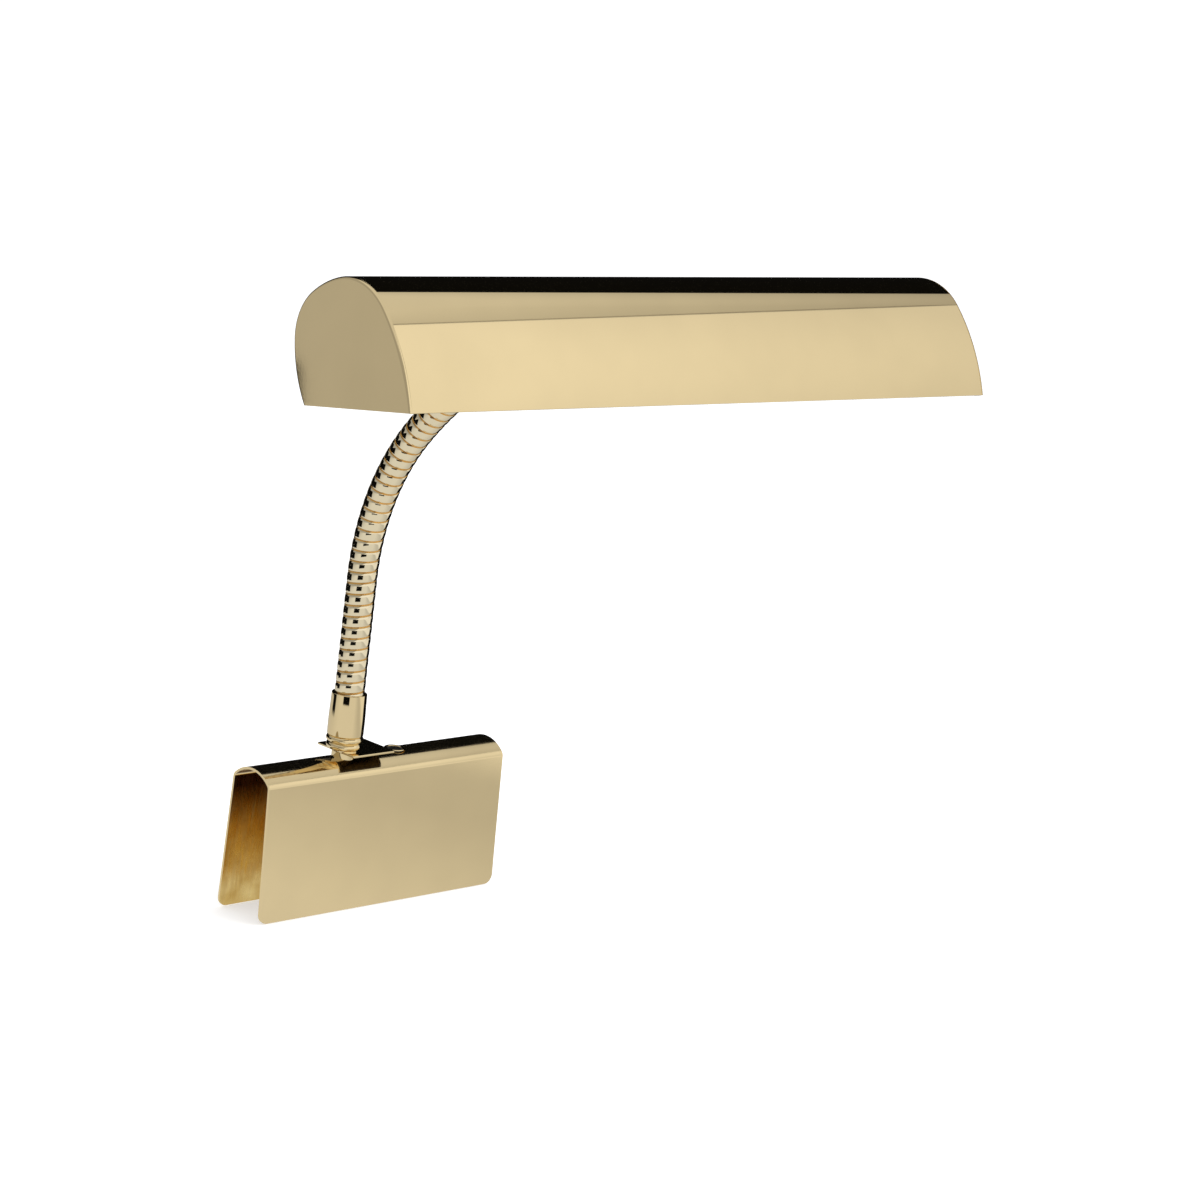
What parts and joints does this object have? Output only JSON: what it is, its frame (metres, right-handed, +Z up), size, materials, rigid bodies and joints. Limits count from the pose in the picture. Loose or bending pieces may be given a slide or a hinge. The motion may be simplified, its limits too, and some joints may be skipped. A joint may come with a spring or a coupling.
{
  "type": "piano lamp",
  "caption": "Clip-on piano lamp in polished brass: a trough shade over tubular lamps on a bendable gooseneck, held by a sheet clip that slips over a music desk.",
  "frame": {"origin": "centre of the clip's seat, on the underside of the crown under the gooseneck's foot", "axes": "+X along the clip to its longer side, +Z up along the gooseneck's foot, -Y towards the player, where the shade hangs"},
  "size_m": [0.3592, 0.2542, 0.3501],
  "materials": {
    "polished_brass": "polished and lacquered",
    "coil_brass": "polished winding",
    "steel": "zinc plated",
    "spring_steel": "drawn wire",
    "bushing_black": "moulded",
    "socket_phenolic": "moulded",
    "socket_brass": "plain",
    "lamp_glass": "clear",
    "lamp_cap_metal": "rolled thread",
    "lamp_mount": "pressed stem with wires",
    "wire_insulation": "extruded"
  },
  "bodies": {
    "base": {"clip": "polished_brass", "cord_bushing": "bushing_black", "crown_spacer": "polished_brass", "foot_plate": "polished_brass", "neck_ferrule": "polished_brass", "ferrule_set_screw": "steel", "seat_washer": "steel", "clip_nut": "steel", "clip_nipple": "steel", "coil_end_lower": "coil_brass"},
    "neck_1": {"coil_turns_1": "coil_brass", "inner_spring_1": "spring_steel"},
    "neck_2": {"coil_turns_2": "coil_brass", "inner_spring_2": "spring_steel"},
    "neck_3": {"coil_turns_3": "coil_brass", "inner_spring_3": "spring_steel"},
    "neck_4": {"coil_turns_4": "coil_brass", "inner_spring_4": "spring_steel"},
    "neck_5": {"coil_turns_5": "coil_brass", "inner_spring_5": "spring_steel"},
    "neck_6": {"coil_turns_6": "coil_brass", "inner_spring_6": "spring_steel"},
    "neck_7": {"coil_turns_7": "coil_brass", "inner_spring_7": "spring_steel"},
    "neck_8": {"coil_turns_8": "coil_brass", "inner_spring_8": "spring_steel"},
    "head": {"bracket_spacer": "steel", "coil_end_upper": "coil_brass", "end_cap_left": "polished_brass", "end_cap_right": "polished_brass", "lamp_base_left": "lamp_cap_metal", "lamp_base_right": "lamp_cap_metal", "lamp_contact_left": "socket_brass", "lamp_contact_right": "socket_brass", "lamp_filament_left": "lamp_mount", "lamp_filament_right": "lamp_mount", "lamp_glass_left": "lamp_glass", "lamp_glass_right": "lamp_glass", "lead_wires": "wire_insulation", "lock_washer": "steel", "neck_collar": "polished_brass", "screw_shell_left": "socket_brass", "screw_shell_right": "socket_brass", "shade_nipple": "steel", "shade_nut": "steel", "shade_shell": "polished_brass", "socket_body_left": "socket_phenolic", "socket_body_right": "socket_phenolic", "socket_bracket": "steel", "socket_contact_left": "socket_brass", "socket_contact_right": "socket_brass", "socket_screws": "steel"}
  },
  "joints": [
    {"name": "neck_bend_1", "type": "hinge", "parent": "base", "child": "neck_1", "pos_m": [0, 0, 0.034], "axis": [0.9986, -0.0523, 0], "range_deg": [-6, 6]},
    {"name": "neck_sway_1", "type": "hinge", "parent": "neck_1", "child": "neck_2", "pos_m": [0, 0, 0.06799], "axis": [0.0523, 0.9986, 0], "range_deg": [-6, 6]},
    {"name": "neck_bend_2", "type": "hinge", "parent": "neck_2", "child": "neck_3", "pos_m": [-0.00002, -0.0004, 0.10198], "axis": [0.9986, -0.0523, 0], "range_deg": [-6, 6]},
    {"name": "neck_sway_2", "type": "hinge", "parent": "neck_3", "child": "neck_4", "pos_m": [-0.0004, -0.00773, 0.13506], "axis": [0.049, 0.9358, 0.3492], "range_deg": [-6, 6]},
    {"name": "neck_bend_3", "type": "hinge", "parent": "neck_4", "child": "neck_5", "pos_m": [-0.00125, -0.02381, 0.16487], "axis": [0.9986, -0.0523, 0], "range_deg": [-6, 6]},
    {"name": "neck_sway_3", "type": "hinge", "parent": "neck_5", "child": "neck_6", "pos_m": [-0.00245, -0.04667, 0.18994], "axis": [0.0354, 0.6753, 0.7367], "range_deg": [-6, 6]},
    {"name": "neck_bend_4", "type": "hinge", "parent": "neck_6", "child": "neck_7", "pos_m": [-0.00385, -0.0735, 0.21069], "axis": [0.9986, -0.0523, 0], "range_deg": [-6, 6]},
    {"name": "neck_sway_4", "type": "hinge", "parent": "neck_7", "child": "neck_8", "pos_m": [-0.00542, -0.10345, 0.2266], "axis": [0.0205, 0.3914, 0.92], "range_deg": [-6, 6]},
    {"name": "neck_bend_5", "type": "hinge", "parent": "neck_8", "child": "head", "pos_m": [-0.00711, -0.13566, 0.23721], "axis": [0.9986, -0.0523, 0], "range_deg": [-6, 6]}
  ]
}
